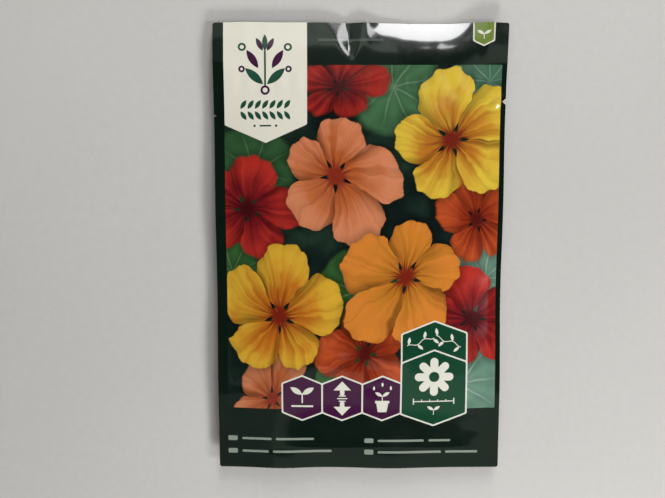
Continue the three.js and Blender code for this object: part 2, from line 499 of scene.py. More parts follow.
class Wire:
    def __init__(self, tree, socket):
        self.tree = tree
        self.socket = socket

    def math(self, operation, *others):
        node = newNode(self.tree, "Math", operation=operation)
        for socket, value in zip(node.inputs, (self, *others)):
            plug(value, socket)
        return Wire(self.tree, node.outputs[0])

    def __add__(self, other):
        return self.math("ADD", other)

    def __mul__(self, other):
        return self.math("MULTIPLY", other)

    def __sub__(self, other):
        return self.math("SUBTRACT", other)

    def __rsub__(self, other):
        return self.math("MULTIPLY_ADD", -1, other)

    def __truediv__(self, other):
        return self.math("DIVIDE", other)

    def __pow__(self, other):
        return self.math("POWER", other)

    def __abs__(self):
        return self.math("ABSOLUTE")

    __radd__ = __add__
    __rmul__ = __mul__


def plug(value, socket):
    # a wire is linked, anything else is set on the socket
    if isinstance(value, Wire):
        value.tree.links.new(value.socket, socket)
    else:
        socket.default_value = value


def turned(x, y, angle):
    # the same place as seen by something that is turned by the angle
    cosine, sine = angle.math("COSINE"), angle.math("SINE")
    return x * cosine + y * sine, y * cosine - x * sine


def polar(x, y):
    # how far out, and how much of a full turn round from -0.5 to 0.5
    return (x * x + y * y).math("SQRT"), y.math("ARCTAN2", x) / fullTurn


def ramp(wire, start, end, low=0, high=1):
    # from low at start to high at end, eased at both. The smooth step needs no clamp.
    node = newNode(wire.tree, "MapRange", interpolation_type="SMOOTHSTEP", clamp=False)
    values = {"Value": wire, "From Min": start, "From Max": end, "To Min": low, "To Max": high}
    for label, value in values.items():
        plug(value, node.inputs[label])
    return Wire(wire.tree, node.outputs["Result"])


def grain(place, scale, detail=2, roughness=0.5):
    # soft noise over a place, or along a single number
    feeds, dimensions = ("W", "1D") if place.socket.type == "VALUE" else ("Vector", "3D")
    node = newNode(place.tree, "TexNoise", noise_dimensions=dimensions)
    for label, value in ((feeds, place), ("Scale", scale), ("Detail", detail), ("Roughness", roughness)):
        plug(value, node.inputs[label])
    return Wire(place.tree, node.outputs[0])


def unlike(number):
    # a value of its own for each number
    node = newNode(number.tree, "TexWhiteNoise", noise_dimensions="1D")
    plug(number, node.inputs["W"])
    return Wire(number.tree, node.outputs["Value"])


def blend(share, under, over):
    node = newNode(share.tree, "Mix", data_type="RGBA")
    for index, value in ((0, share), (6, under), (7, over)):
        plug(value, node.inputs[index])
    return Wire(share.tree, node.outputs[2])


def ink(code):
    # a printer's colour code as a linear colour, by the sRGB curve
    def linear(shade):
        return shade / 12.92 if shade <= 0.04045 else ((shade + 0.055) / 1.055) ** 2.4

    return (*[linear(int(code[at:at + 2], 16) / 255) for at in (0, 2, 4)], 1.0)


def openGroup(name, outputs=("Over",), **inputs):
    # a node group whose inputs are of the kind of their first values: numbers, pairs, places or colours
    kinds = {1: "NodeSocketFloat", 3: "NodeSocketVector", 4: "NodeSocketColor"}
    tree = bpy.data.node_groups.new(name, "ShaderNodeTree")
    for label, value in spread(inputs).items():
        kind = kinds[len(value) if isinstance(value, tuple) else 1]
        tree.interface.new_socket(name=label, in_out="INPUT", socket_type=kind).default_value = value
    for label in outputs:
        kind = "NodeSocketColor" if label == "Over" else "NodeSocketFloat"
        tree.interface.new_socket(name=label, in_out="OUTPUT", socket_type=kind)
    entry = tree.nodes.new("NodeGroupInput")
    return [Wire(tree, entry.outputs[label]) for label in spread(inputs)]


def spread(values):
    # a pair of numbers has a socket for its X and one for its Y
    flat = {}
    for label, value in values.items():
        if isinstance(value, tuple) and len(value) == 2:
            flat[label + "X"], flat[label + "Y"] = value
        else:
            flat[label] = value
    return flat


def closeGroup(**results):
    tree = next(iter(results.values())).tree
    leave = tree.nodes.new("NodeGroupOutput")
    for label, wire in results.items():
        tree.links.new(wire.socket, leave.inputs[label])
    return tree


def use(group, give="Over", **values):
    # places a group in the tree that its wires belong to
    flat = spread(values)
    tree = next(value.tree for value in flat.values() if isinstance(value, Wire))
    node = newNode(tree, "Group", node_tree=group)
    for label, value in flat.items():
        plug(value, node.inputs[label])
    return Wire(tree, node.outputs[give])


# flat ink shapes: each lays its ink over what is under it. Places and sizes are in millimetres.

black = (0.0, 0.0, 0.0, 1.0)
zero = (0.0, 0.0)
inkEdge = 0.08


def covered(away):
    # the ink's share at a distance from the shape's edge, which is negative inside the shape
    return ramp(away, inkEdge, -inkEdge)


def inked(away, under, color):
    return closeGroup(Over=blend(covered(away), under, color))


def inRow(x, pitch, repeats):
    # the shape stands again at each pitch to the right
    count = (x / pitch).math("ROUND").math("MAXIMUM", 0).math("MINIMUM", repeats)
    return x - count * pitch


def makeStroke():
    under, x, y, startX, startY, endX, endY, width, color = openGroup(
        "inkStroke", Under=black, Place=zero, Start=zero, End=zero, Width=1.0, Ink=black)
    alongX, alongY = endX - startX, endY - startY
    x, y = x - startX, y - startY
    share = (x * alongX + y * alongY) / (alongX * alongX + alongY * alongY)
    share = share.math("MINIMUM", 1).math("MAXIMUM", 0)
    away, _ = polar(x - share * alongX, y - share * alongY)
    return inked(away - width * 0.5, under, color)


def makeHexagon():
    # upright sides, with a slope like a roof's above and below
    under, x, y, atX, atY, half, rise, fall, slope, fill, line, width = openGroup(
        "inkHexagon", Under=black, Place=zero, Centre=zero, HalfWidth=7.0, Rise=5.0, Fall=5.0,
        Slope=0.42, Fill=black, Line=black, LineWidth=0.5)
    rounding = 0.8
    x, y = abs(x - atX), y - atY
    lean = x * slope
    steep = (slope * slope + 1) ** -0.5
    roof = (y + lean - rise) * steep
    keel = (lean - y - fall) * steep
    away = (x - half).math("SMOOTH_MAX", roof, rounding).math("SMOOTH_MAX", keel, rounding)
    filled = blend(covered(away), under, fill)
    return inked(abs(away) - width * 0.5, filled, line)


def makeBlade():
    # a leaf at power 2, a lozenge at power 1 or, from its middle on, an arrow head
    under, x, y, atX, atY, turn, length, width, power, start, pitch, repeats, color = openGroup(
        "inkBlade", Under=black, Place=zero, Centre=zero, Turn=0.0, HalfLength=3.0, HalfWidth=1.0,
        Power=2.0, Start=-1.0, Pitch=1.0, Repeats=0.0, Ink=black)
    x, y = turned(inRow(x - atX, pitch, repeats), y - atY, turn)
    share = x / length
    away = abs(y) - width * (1 - abs(share) ** power)
    away = away.math("MAXIMUM", (start - share) * length)
    return inked(away, under, color)


def makePanel():
    # a box with rounded corners, wider at the top where it has a taper, or only its wall
    under, x, y, atX, atY, half, high, taper, corner, wall, pitch, repeats, color = openGroup(
        "inkPanel", Under=black, Place=zero, Centre=zero, HalfWidth=5.0, HalfHeight=5.0, Taper=0.0,
        Round=0.5, Wall=200.0, Pitch=1.0, Repeats=0.0, Ink=black)
    x, y = x - atX, y - atY
    outX = abs(inRow(x, pitch, repeats)) - half - taper * y + corner
    outY = abs(y) - high + corner
    beyond, _ = polar(outX.math("MAXIMUM", 0), outY.math("MAXIMUM", 0))
    away = beyond + outX.math("MAXIMUM", outY).math("MINIMUM", 0) - corner
    away = abs(away + wall * 0.5) - wall * 0.5
    return inked(away, under, color)


def makeRosette():
    # round-ended petals about a hole
    under, x, y, atX, atY, count, inner, outer, width, hole, color = openGroup(
        "inkRosette", Under=black, Place=zero, Centre=zero, Petals=6.0, Inner=2.0, Outer=6.0,
        PetalWidth=3.0, Hole=2.0, Ink=black)
    away, turn = polar(x - atX, y - atY)
    turn = turn * count
    off = (turn - turn.math("ROUND")) / count * fullTurn
    along = away * off.math("COSINE")
    beyond = along - along.math("MAXIMUM", inner).math("MINIMUM", outer)
    petal, _ = polar(beyond, away * off.math("SINE"))
    return inked((petal - width * 0.5).math("MAXIMUM", hole - away), under, color)


def makeVine():
    # a waving stem with a leaf on the outside of each wave
    under, x, y, atX, atY, turn, length, sway, pitch, size, color = openGroup(
        "inkVine", Under=black, Place=zero, Centre=zero, Turn=0.0, HalfLength=10.0, Sway=0.6,
        Pitch=4.0, Leaf=1.2, Ink=black)
    stemHalf, leafLean, leafShare = 0.16, 0.45, 0.5
    x, y = turned(x - atX, y - atY, turn)
    stem = abs(y - (x / pitch * math.pi).math("SINE") * sway) - stemHalf
    count = (x / pitch - 0.5).math("ROUND")
    side = 1 - count.math("FLOORED_MODULO", 2) * 2
    leafX = x - (count + 0.5) * pitch - y * side * leafLean
    leafY = y * side - sway - size
    leaf = abs(leafX) - (1 - (leafY / size) ** 2) * size * leafShare
    leaf = leaf.math("MAXIMUM", abs(leafY) - size).math("MAXIMUM", abs((count + 0.5) * pitch) - length)
    away = stem.math("MAXIMUM", abs(x) - length).math("MINIMUM", leaf)
    return inked(away, under, color)


def makeLines():
    # rows of plain rules with ragged ends, where a packet has its small print
    under, x, y, atX, atY, half, high, pitch, height, own, color = openGroup(
        "inkLines", Under=black, Place=zero, Centre=zero, HalfWidth=20.0, HalfHeight=10.0, Pitch=3.0,
        Height=1.0, Own=0.0, Ink=black)
    missing = 0.9        # the most of a line's half width that its end may lack
    x, y = x - atX, y - atY
    row = (y / pitch).math("ROUND")
    ragged = half - unlike(row + own) ** 3 * half * missing
    away = (x * -1 - half).math("MAXIMUM", x - ragged).math("MAXIMUM", abs(y - row * pitch) - height * 0.5)
    away = away.math("MAXIMUM", abs(y) - high)
    return inked(away, under, color)


# the picture: round leaves and five-petal blooms over deep green. Drift is a slow noise over the packet.

def makeBackdrop():
    fineShare, lightFrom, lightTo = 0.35, 0.56, 0.92
    drift, fine, dark, light = openGroup("deepGreen", Drift=0.5, Fine=0.5, Dark=black, Light=black)
    return closeGroup(Over=blend(ramp(drift + fine * fineShare, lightFrom, lightTo), dark, light))


def shadowed(under, away, rim, reach, strength):
    # darkens what lies under a rim, from a little within it out to the shadow's reach
    within = 0.1
    shade = ramp(away, rim + reach, rim - within) * strength
    return blend(shade, under, black)


# in both looks, lengths are shares of the leaf's or the bloom's size
leafLook = {
    "rim": 0.9, "rimDrift": 0.22, "scallops": 7, "scallopDepth": 0.025,
    "veins": 9, "veinDrift": 0.5, "veinWidth": (0.045, 0.008), "veinFade": (1.05, 0.3), "veinInk": 0.55,
    "light": 0.35, "driftLight": 0.8, "lightBetween": 0.5, "shadowReach": 0.22, "shadow": 0.55,
}


def makeRoundLeaf():
    # veins run from a point near the middle to a softly waved rim
    look = leafLook
    under, x, y, drift, atX, atY, turn, size, blur, leaf, vein = openGroup(
        "roundLeaf", Under=black, Place=zero, Drift=0.5, Centre=zero, Turn=0.0, Size=14.0, Blur=0.03,
        Leaf=black, Vein=black)
    x, y = turned(x - atX, y - atY, turn)
    away, turnShare = polar(x, y)
    away = away / size
    rim = drift * look["rimDrift"] + look["rim"]
    rim += (turnShare * (fullTurn * look["scallops"])).math("SINE") * look["scallopDepth"]
    spoke = turnShare * look["veins"] + drift * look["veinDrift"]
    off = abs(spoke - spoke.math("ROUND"))
    veins = ramp(off * away, *look["veinWidth"]) * ramp(away, *look["veinFade"])
    shine = drift * look["driftLight"] + look["light"] + off * look["lightBetween"]
    face = blend(veins * look["veinInk"], blend(shine, black, leaf), vein)
    below = shadowed(under, away, rim, look["shadowReach"], look["shadow"])
    return closeGroup(Over=blend(ramp(away, rim + blur, rim - blur), below, face))


# places across a petal run from -0.5 to 0.5, and what ends in Own differs from petal to petal
petalLook = {
    "count": 5, "twist": 0.14, "drift": 0.3, "bloomOwn": 7.3,
    "folds": 6, "foldGrain": (1.0, 3, 0.6), "foldOwn": 40, "waver": 0.25, "wavers": 5, "waverOwn": 20,
    "rim": 0.88, "rimOwn": 0.16, "notch": 0.3, "notchPower": 2.6,
    "ruffles": 26, "ruffleOwn": 9, "ruffle": 0.016, "foldRuffle": 0.06,
    "claw": 0.3, "clawWidens": 2.6, "clawMost": 1.05, "clawEdge": (-0.02, 0.03),
    "eye": (0.17, 0.11), "eyeDrift": 0.1, "lip": (-0.42, -0.5), "lipLight": 0.15,
    "lapAcross": (0.22, 0.5), "lapAlong": (0.12, 0.5), "lapShade": 0.5,
    "light": 0.84, "outer": (0.1, 0.8), "outerLight": 0.16, "foldLight": 0.6, "driftShade": 0.3,
    "edge": (0.86, 1.0), "edgeShade": 0.1, "tip": (0.2, 0.95), "tipFold": 0.6, "tipDrift": 1.1,
    "streaks": 3.5, "streakFold": 4, "streakEdge": (0.0, 0.9), "streakFade": (0.62, 0.18),
    "streakOwn": 0.15, "streakInk": 0.75, "blotch": (0.27, 0.1), "blotchFold": 0.35,
    "shadowReach": 0.2, "shadow": 0.6,
}


def makeBloom():
    # broad petals that lap over each other, folded along their length and streaked towards a dark throat
    look = petalLook
    (under, x, y, drift, atX, atY, turn, size, squash, lean, blur, own, light, petal, tip,
     throat) = openGroup(
        "fivePetals", Under=black, Place=zero, Drift=0.5, Centre=zero, Turn=0.0, Size=22.0, Squash=0.9,
        Lean=0.1, Blur=0.012, Own=0.0, Light=1.0, Petal=black, Tip=black, Throat=black)
    x, y = turned(x - atX, y - atY, turn)
    reach, turnShare = polar(x, y / squash)
    away = reach / size
    drift = drift - 0.5
    around = turnShare * look["count"] + away * look["twist"] + drift * look["drift"]
    number = around.math("ROUND")
    off = around - number
    own = unlike(number.math("FLOORED_MODULO", look["count"]) + own * look["bloomOwn"])
    waver = (away * look["wavers"] + own * look["waverOwn"]).math("SINE") * look["waver"]
    folds = grain(off * look["folds"] + waver + own * look["foldOwn"], *look["foldGrain"]) - 0.5
    ruffle = (off * look["ruffles"] + own * look["ruffleOwn"]).math("SINE") * look["ruffle"]
    ruffle += folds * look["foldRuffle"]
    rim = look["rim"] + own * look["rimOwn"] - abs(off * 2) ** look["notchPower"] * look["notch"]
    rim = (rim + ruffle) * (1 + lean * x / reach)
    claw = (away * look["clawWidens"] + look["claw"]).math("MINIMUM", look["clawMost"]) * 0.5 - abs(off)
    eye = ramp(away + drift * look["eyeDrift"], *look["eye"])
    cover = ramp(away, rim + blur, rim - blur) * ramp(claw, *look["clawEdge"])
    cover = cover.math("MAXIMUM", eye)
    lapped = ramp(off, *look["lapAcross"]) * ramp(away, *look["lapAlong"])
    lip = ramp(off, *look["lip"]) * look["lipLight"]
    shine = look["light"] + ramp(away, *look["outer"]) * look["outerLight"]
    shine = shine - lapped * look["lapShade"] + lip + folds * look["foldLight"] - drift * look["driftShade"]
    shine = (shine - ramp(away / rim, *look["edge"]) * look["edgeShade"]) * light
    face = blend(ramp(away + folds * look["tipFold"] + drift * look["tipDrift"], *look["tip"]), petal, tip)
    face = blend(shine, black, face)
    streaks = off * (fullTurn * look["streaks"]) + folds * look["streakFold"]
    streaks = ramp(streaks.math("SINE"), *look["streakEdge"])
    streaks = streaks * ramp(away + own * look["streakOwn"], *look["streakFade"]) * look["streakInk"]
    blotch = ramp(away + folds * look["blotchFold"], *look["blotch"])
    face = blend(streaks.math("MAXIMUM", blotch), face, throat)
    below = shadowed(under, away, rim, look["shadowReach"], look["shadow"])
    return closeGroup(Over=blend(cover, below, face))


stroke = makeStroke()
hexagon = makeHexagon()
blade = makeBlade()
panel = makePanel()
rosette = makeRosette()
vine = makeVine()
lines = makeLines()
roundLeaf = makeRoundLeaf()
bloom = makeBloom()

inkCodes = {
    "film": "07150e",
    "filmWorn": "0a1811",
    "deepShade": "0d1a18",
    "midShade": "2a4232",
    "cream": "e4e0d1",
    "rule": "dedccf",
    "plum": "3f1038",
    "emerald": "10402a",
    "olive": "6f8338",
    "grey": "8a9386",
    "faint": "3f4a41",
    "leafDark": "1d4a38",
    "paper": "e6e4dc",
    "smallPrint": "4a4d45",
    "flowering": "c8552c",
}
inks = {name: ink(code) for name, code in inkCodes.items()}
pictureAt = {"Centre": (0.97, 3.95), "HalfWidth": 51.2, "HalfHeight": 64.05, "Round": 0.3}
pictureScale = 0.022


def leafInks(face, vein):
    return {"Leaf": ink(face), "Vein": ink(vein)}


def petalInks(petal, tip, throat):
    return {"Petal": ink(petal), "Tip": ink(tip), "Throat": ink(throat)}


bluish = leafInks("456e56", "73947f")
pale = leafInks("698e7a", "9db6a2")
mossy = leafInks("436b48", "709072")
shady = leafInks("305432", "5f7f5a")
fresh = leafInks("345d2f", "708d59")
leafColumns = ("Centre", "Size", "Turn", "Blur")
leaves = [
    ((12, 60), 17, 0.4, 0.12, mossy),
    ((-40, 30), 16, 2.0, 0.1, shady),
    ((48, 62), 15, 1.1, 0.1, bluish),
    ((48, -10), 14, 5.1, 0.05, pale),
    ((-1, -14), 15, 0.9, 0.06, fresh),
    ((-48, -8), 13, 3.4, 0.06, fresh),
    ((38, -50), 19, 2.4, 0.03, pale),
    ((-2, -50), 15, 4.0, 0.04, fresh),
]
yellow = petalInks("b87222", "d9b83d", "6e1f14")
gold = petalInks("bc681a", "d5a532", "751f10")
orange = petalInks("c37a26", "d37f30", "751f10")
salmon = petalInks("b75e2e", "d1825b", "82291a")
red = petalInks("7b171d", "b83026", "3e0a0f")
scarlet = petalInks("9b3217", "c65429", "4f100c")
# from the ones that lie deepest to the ones in front
bloomColumns = ("Centre", "Size", "Turn", "Squash", "Lean", "Blur", "Light")
blooms = [
    ((-8, 60), 17, 0.3, 0.75, 0.1, 0.06, 0.7, red),
    ((44, 12), 19, 1.9, 0.8, 0.1, 0.05, 0.8, scarlet),
    ((-42, 16), 23, 2.7, 0.85, 0.1, 0.03, 0.9, red),
    ((2, -38), 22, 4.4, 0.8, 0.1, 0.03, 0.8, scarlet),
    ((-33, -56), 20, 1.2, 0.75, 0.1, 0.03, 0.85, salmon),
    ((34, 41), 26, 0.7, 0.9, 0.14, 0.012, 1.0, yellow),
    ((43, -25), 23, 3.1, 0.85, 0.1, 0.012, 0.95, red),
    ((-9, 28), 25, 5.3, 0.86, 0.16, 0.012, 1.0, salmon),
    ((-30, -24), 26, 1.6, 0.88, 0.14, 0.012, 1.0, gold),
    ((17, -9), 26, 4.1, 0.85, 0.18, 0.012, 1.0, orange),
]


# a mark is one shape and its settings, and sizes across and along are given as a pair of halves

def bar(start, end, width, color):
    return stroke, {"Start": start, "End": end, "Width": width, "Ink": color}


def leaflet(at, turn, half, color, **more):
    size = {"HalfLength": half[0], "HalfWidth": half[1]}
    return blade, {"Centre": at, "Turn": turn, **size, "Ink": color, **more}


def box(at, half, corner, color, **more):
    size = {"HalfWidth": half[0], "HalfHeight": half[1], "Round": corner}
    return panel, {"Centre": at, **size, "Ink": color, **more}


def ring(at, radius, wall, color):
    return box(at, (radius, radius), radius, color, Wall=wall)


def badge(at, half, roofAndKeel, slope, fill, line, lineWidth=0.6):
    size = {"HalfWidth": half, "Rise": roofAndKeel[0], "Fall": roofAndKeel[1], "Slope": slope}
    return hexagon, {"Centre": at, **size, "Fill": fill, "Line": line, "LineWidth": lineWidth}


def paragraph(at, half, pitch, own, color):
    size = {"HalfWidth": half[0], "HalfHeight": half[1], "Pitch": pitch, "Height": 0.75}
    return lines, {"Centre": at, **size, "Own": own, "Ink": color}


def mirrored(mark, axis):
    # the mark and its mirror image across an upright line
    kind, settings = mark
    x, y = settings["Centre"]
    twin = {**settings, "Centre": (2 * axis - x, y)}
    if "Turn" in settings:
        twin["Turn"] = math.pi - settings["Turn"]
    return [mark, (kind, twin)]


def pennantMarks():
    # a sprig with buds and berries, over two rows of small leaves
    axis, upright = -34.9, math.pi / 2
    cream, green, plum = inks["cream"], inks["leafDark"], inks["plum"]
    row = {"Pitch": 2.7, "Repeats": 6}
    return [
        badge((-34.8, 60), 15.2, (60, 19.9), 0.43, cream, cream, 0.2),
        bar((axis, 60.5), (axis, 73), 0.7, green),
        *mirrored(leaflet((axis + 4, 64), 0.72, (4.4, 1.5), green), axis),
        *mirrored(leaflet((axis + 4.6, 70.2), 1.0, (3.9, 1.35), plum), axis),
        *mirrored(leaflet((axis + 2.0, 75.6), 1.1, (2.7, 0.95), plum), axis),
        leaflet((axis, 76.2), upright, (3.2, 1.0), green),
        *mirrored(ring((axis + 8.4, 74.6), 1.5, 0.75, green), axis),
        *mirrored(ring((axis + 8.6, 66.6), 1.2, 0.7, plum), axis),
        ring((axis, 59.0), 1.7, 0.8, plum),
        leaflet((axis - 8.1, 53.9), 0.95, (1.9, 0.8), green, **row),
        leaflet((axis - 8.1, 49.9), -0.95, (1.9, 0.8), green, **row),
        box((axis, 46.2), (2.2, 0.3), 0.3, green),
        box((axis - 4.0, 46.2), (0.45, 0.45), 0.45, green, Pitch=8.0, Repeats=1),
    ]


def sproutMarks(x, y, size, color):
    # a seedling: its stem with a leaf to each side
    lean = math.radians(32)
    leafAt = (x + size * 0.72, y + size * 0.48)
    return [
        bar((x, y - size), (x, y + size * 0.1), size * 0.17, color),
        *mirrored(leaflet(leafAt, lean, (size * 0.85, size * 0.34), color), x),
    ]


def badgeMarks():
    # three small badges in a row: a seedling over its soil, how high it grows, a pot with drops over it
    soil, height, pot = -21.7, -6.5, 8.7
    row, upright, drop = -55.6, math.pi / 2, (0.9, 0.4)
    rule = inks["rule"]
    marks = [
        *[badge((x, row), 7.6, (8.9, 8.9), 0.41, inks["plum"], rule) for x in (soil, height, pot)],
        *sproutMarks(soil, row + 1.4, 3.1, rule),
        box((soil, row - 3.2), (4.2, 0.35), 0.3, rule),
        box((pot, row - 3.5), (2.0, 2.0), 0.3, rule, Taper=0.16),
        box((pot, row - 1.4), (2.7, 0.5), 0.2, rule),
        *sproutMarks(pot, row + 0.8, 1.9, rule),
        *mirrored(leaflet((11.9, row + 4.2), upright, drop, rule), pot),
        leaflet((pot, row + 5.6), upright, drop, rule),
    ]
    for way in (1, -1):
        marks += [
            leaflet((height, row + way * 3.3), way * upright, (3.6, 3.3), rule, Power=1, Start=0.0),
            bar((height, row + way * 3.2), (height, row + way * 2.0), 1.7, rule),
        ]
    for step in (-1, 0, 1):
        marks.append(box((height, row + step * 1.05), (1.9 - 0.6 * abs(step), 0.22), 0.1, rule))
    return marks + tallBadgeMarks()


def tallBadgeMarks():
    # a vine over a flower and the ruler that measures it
    x, y, rule, green = 28.4, -46.3, inks["rule"], inks["emerald"]
    twig = {"Turn": 0.36, "HalfLength": 5.3, "Sway": 0.55, "Pitch": 3.2, "Leaf": 1.3, "Ink": rule}
    flower = {"Petals": 8, "Inner": 2.8, "Outer": 5.9, "PetalWidth": 3.1, "Hole": 2.0, "Ink": rule}
    return [
        badge((x, y), 12.6, (20.6, 20.4), 0.38, green, rule),
        badge((x, y), 12.6, (9.5, 20.4), 0.38, green, rule),
        *mirrored((vine, {**twig, "Centre": (x - 5.4, y + 12.8)}), x),
        (rosette, {**flower, "Centre": (x, y - 0.9)}),
        bar((x - 7.8, y - 10.6), (x + 7.8, y - 10.6), 0.4, rule),
        box((x - 7.8, y - 10.6), (0.22, 1.2), 0.1, rule, Pitch=15.6, Repeats=1),
        box((x - 4.68, y - 10.3), (0.16, 0.5), 0.1, rule, Pitch=3.12, Repeats=3),
        *sproutMarks(x, y - 14.2, 1.7, rule),
    ]


def ruleMarks():
    # plain rules where a packet carries its names, by their ends and their height, some short and boxed
    rows = [(-50.5, -46.9, -72.4), (-45.1, -33.6, -72.4), (-32.0, -17.3, -72.4),
            (-50.5, -46.9, -77.5), (-45.1, -34.8, -77.5), (-33.2, -10.5, -77.5),
            (2.1, 5.6, -73.0), (7.2, 25.0, -73.0), (26.8, 35.3, -73.0),
            (2.1, 5.6, -77.7), (7.2, 31.8, -77.7), (33.4, 45.9, -77.7)]
    thin, boxed, boxedUpTo = 0.45, 0.95, 4
    marks = []
    for left, right, y in rows:
        high = boxed if right - left < boxedUpTo else thin
        marks.append(box(((left + right) / 2, y), ((right - left) / 2, high), thin, inks["grey"]))
    for left, right in ((-15.6, -5.4), (-4.0, 8.8)):
        marks.append(box(((left + right) / 2, 77.3), ((right - left) / 2, thin), 0.4, inks["faint"]))
    return marks


def cornerMarks():
    x = 45.15
    return [
        badge((x, 84), 3.7, (20, 8.9), 0.5, inks["olive"], inks["cream"], 0.5),
        *sproutMarks(x, 79.4, 1.7, inks["cream"]),
    ]


def parts(place):
    node = newNode(place.tree, "SeparateXYZ")
    plug(place, node.inputs[0])
    return [Wire(place.tree, socket) for socket in node.outputs]


def newMaterial(name, onSheet=False):
    # the material, the place in millimetres, on the flat sheet or in space, and the way the surface faces
    material = bpy.data.materials.new(name)
    material.use_nodes = True
    tree = material.node_tree
    coordinates = newNode(tree, "TexCoord")
    place = coordinates.outputs["Object"]
    if onSheet:
        place = newNode(tree, "Attribute", attribute_name="flat").outputs["Vector"]
    scale = newNode(tree, "VectorMath", operation="SCALE")
    scale.inputs["Scale"].default_value = 1 / mm
    tree.links.new(place, scale.inputs[0])
    return material, Wire(tree, scale.outputs[0]), Wire(tree, coordinates.outputs["Normal"])


def roughen(shader, height, distance, strength=1.0):
    # a bump of that many metres
    bump = newNode(height.tree, "Bump")
    for label, value in (("Strength", strength), ("Distance", distance), ("Height", height)):
        plug(value, bump.inputs[label])
    height.tree.links.new(bump.outputs["Normal"], shader.inputs["Normal"])


# a grain is its scale, its detail and its roughness
filmFinish = {
    "lining": ink("c9cbc8"), "liningEdge": 0.1, "worn": (0.3, 0.8), "wornScale": 0.1,
    "roughness": 0.16, "smudge": 0.1, "smudgeGrain": (0.06, 4, 0.6), "smudgeSpan": (0.35, 0.75),
    "ripple": 0.25 * mm, "rippleStrength": 0.35, "rippleScale": 0.12,
    "fineRipple": (1.1, 3, 0.65), "fineShare": 0.035,
    "gloss": {"Specular IOR Level": 0.2, "Coat Weight": 0.9, "Coat Roughness": 0.08, "Coat IOR": 1.6},
}


def makeHandling():
    # what packing and handling leave on a laminated film: soft smudges and a faint ripple
    finish = filmFinish
    (where,) = openGroup("filmHandling", outputs=("Smudge", "Height"), Where=(0.0, 0.0, 0.0))
    smudge = ramp(grain(where, *finish["smudgeGrain"]), *finish["smudgeSpan"])
    height = grain(where, finish["rippleScale"]) + grain(where, *finish["fineRipple"]) * finish["fineShare"]
    return closeGroup(Smudge=smudge, Height=height)


handling = makeHandling()


def bareFilm(drift):
    return blend(ramp(drift, *filmFinish["worn"]), inks["film"], inks["filmWorn"])


def layInk(printed, place, marks):
    for kind, settings in marks:
        printed = use(kind, Under=printed, Place=place, **settings)
    return printed


def printedFilm(material, where, facing, printed, outwards):
    # ink on the outside, a pale lining on the inside, one gloss over both
    shader = material.node_tree.nodes["Principled BSDF"]
    _, _, up = parts(facing)
    edge = filmFinish["liningEdge"]
    outside = ramp(up * outwards, -edge, edge)
    plug(blend(outside, filmFinish["lining"], printed), shader.inputs["Base Color"])
    smudge = use(handling, "Smudge", Where=where)
    plug(filmFinish["roughness"] + smudge * filmFinish["smudge"], shader.inputs["Roughness"])
    ripple = use(handling, "Height", Where=where)
    roughen(shader, ripple, filmFinish["ripple"], filmFinish["rippleStrength"])
    for label, value in filmFinish["gloss"].items():
        shader.inputs[label].default_value = value
    return material


def frontPrint():
    material, where, facing = newMaterial("frontPrint", onSheet=True)
    x, y, _ = parts(where)
    place = (x, y)
    drift = grain(where, filmFinish["wornScale"])
    depth = grain(where, pictureScale)
    picture = use(makeBackdrop(), Drift=depth, Fine=drift, Dark=inks["deepShade"], Light=inks["midShade"])
    for *values, colors in leaves:
        settings = dict(zip(leafColumns, values))
        picture = use(roundLeaf, Under=picture, Place=place, Drift=drift, **settings, **colors)
    for number, (*values, colors) in enumerate(blooms):
        settings = dict(zip(bloomColumns, values), Own=number + 1)      # each has folds of its own
        picture = use(bloom, Under=picture, Place=place, Drift=drift, **settings, **colors)
    printed = use(panel, Under=bareFilm(drift), Place=place, Ink=picture, **pictureAt)
    marks = pennantMarks() + badgeMarks() + ruleMarks() + cornerMarks()
    printed = layInk(printed, place, marks)
    print("front print:", len(leaves), "leaves,", len(blooms), "blooms,", len(marks), "marks")
    return printedFilm(material, where, facing, printed, 1)


def infoMarks():
    # a pale panel with four short paragraphs, each under its heading, and a flower in its corner
    green, plum = inks["leafDark"], inks["plum"]
    flower = {"Petals": 5, "Inner": 1.6, "Outer": 4.0, "PetalWidth": 3.4, "Hole": 1.1, "Ink": plum}
    marks = [
        box((0, 26), (46, 41), 2.5, inks["cream"]),
        box((-26, 60.5), (15, 1.5), 0.8, green),
        box((-30.5, 55.2), (10.5, 0.8), 0.6, plum),
        (rosette, {**flower, "Centre": (36, 57.5)}),
        *sproutMarks(24, 56.5, 3.2, green),
    ]
    wide = 19.5
    for number, (x, y) in enumerate(((-21.5, 35), (22.5, 35), (-21.5, 4), (22.5, 4))):
        heading = 8 + 2.5 * (number % 3)
        marks += [
            box((x - wide + heading, y + 11), (heading, 0.85), 0.6, green),
            paragraph((x, y - 1.5), (wide, 9.6), 2.35, number * 11.3, inks["smallPrint"]),
        ]
    return marks


def calendarMarks():
    # two rows of months, with those for sowing and for flowering filled, and a plain panel of bars below
    cream, january, apart = inks["cream"], -41.8, 7.6
    month, corner = (3.1, 2.6), 0.5
    marks = []
    for y, first, more, color in ((-24, 3, 2, inks["olive"]), (-31, 5, 4, inks["flowering"])):
        marks += [
            box((january, y), month, corner, cream, Pitch=apart, Repeats=11, Wall=0.35),
            box((january + first * apart, y), month, corner, color, Pitch=apart, Repeats=more),
        ]
    marks += [
        *sproutMarks(-38, -45.5, 3.4, cream),
        paragraph((-11.5, -46), (20, 7.5), 2.5, 50.0, inks["grey"]),
        box((30, -57), (16, 11), 1.0, inks["paper"]),
    ]
    for start, pitch, repeats, half in ((17.6, 1.3, 19, 0.2), (18.1, 2.9, 8, 0.4), (19.4, 4.7, 4, 0.55)):
        marks.append(box((start, -56), (half, 8), 0.05, inks["film"], Pitch=pitch, Repeats=repeats))
    return marks


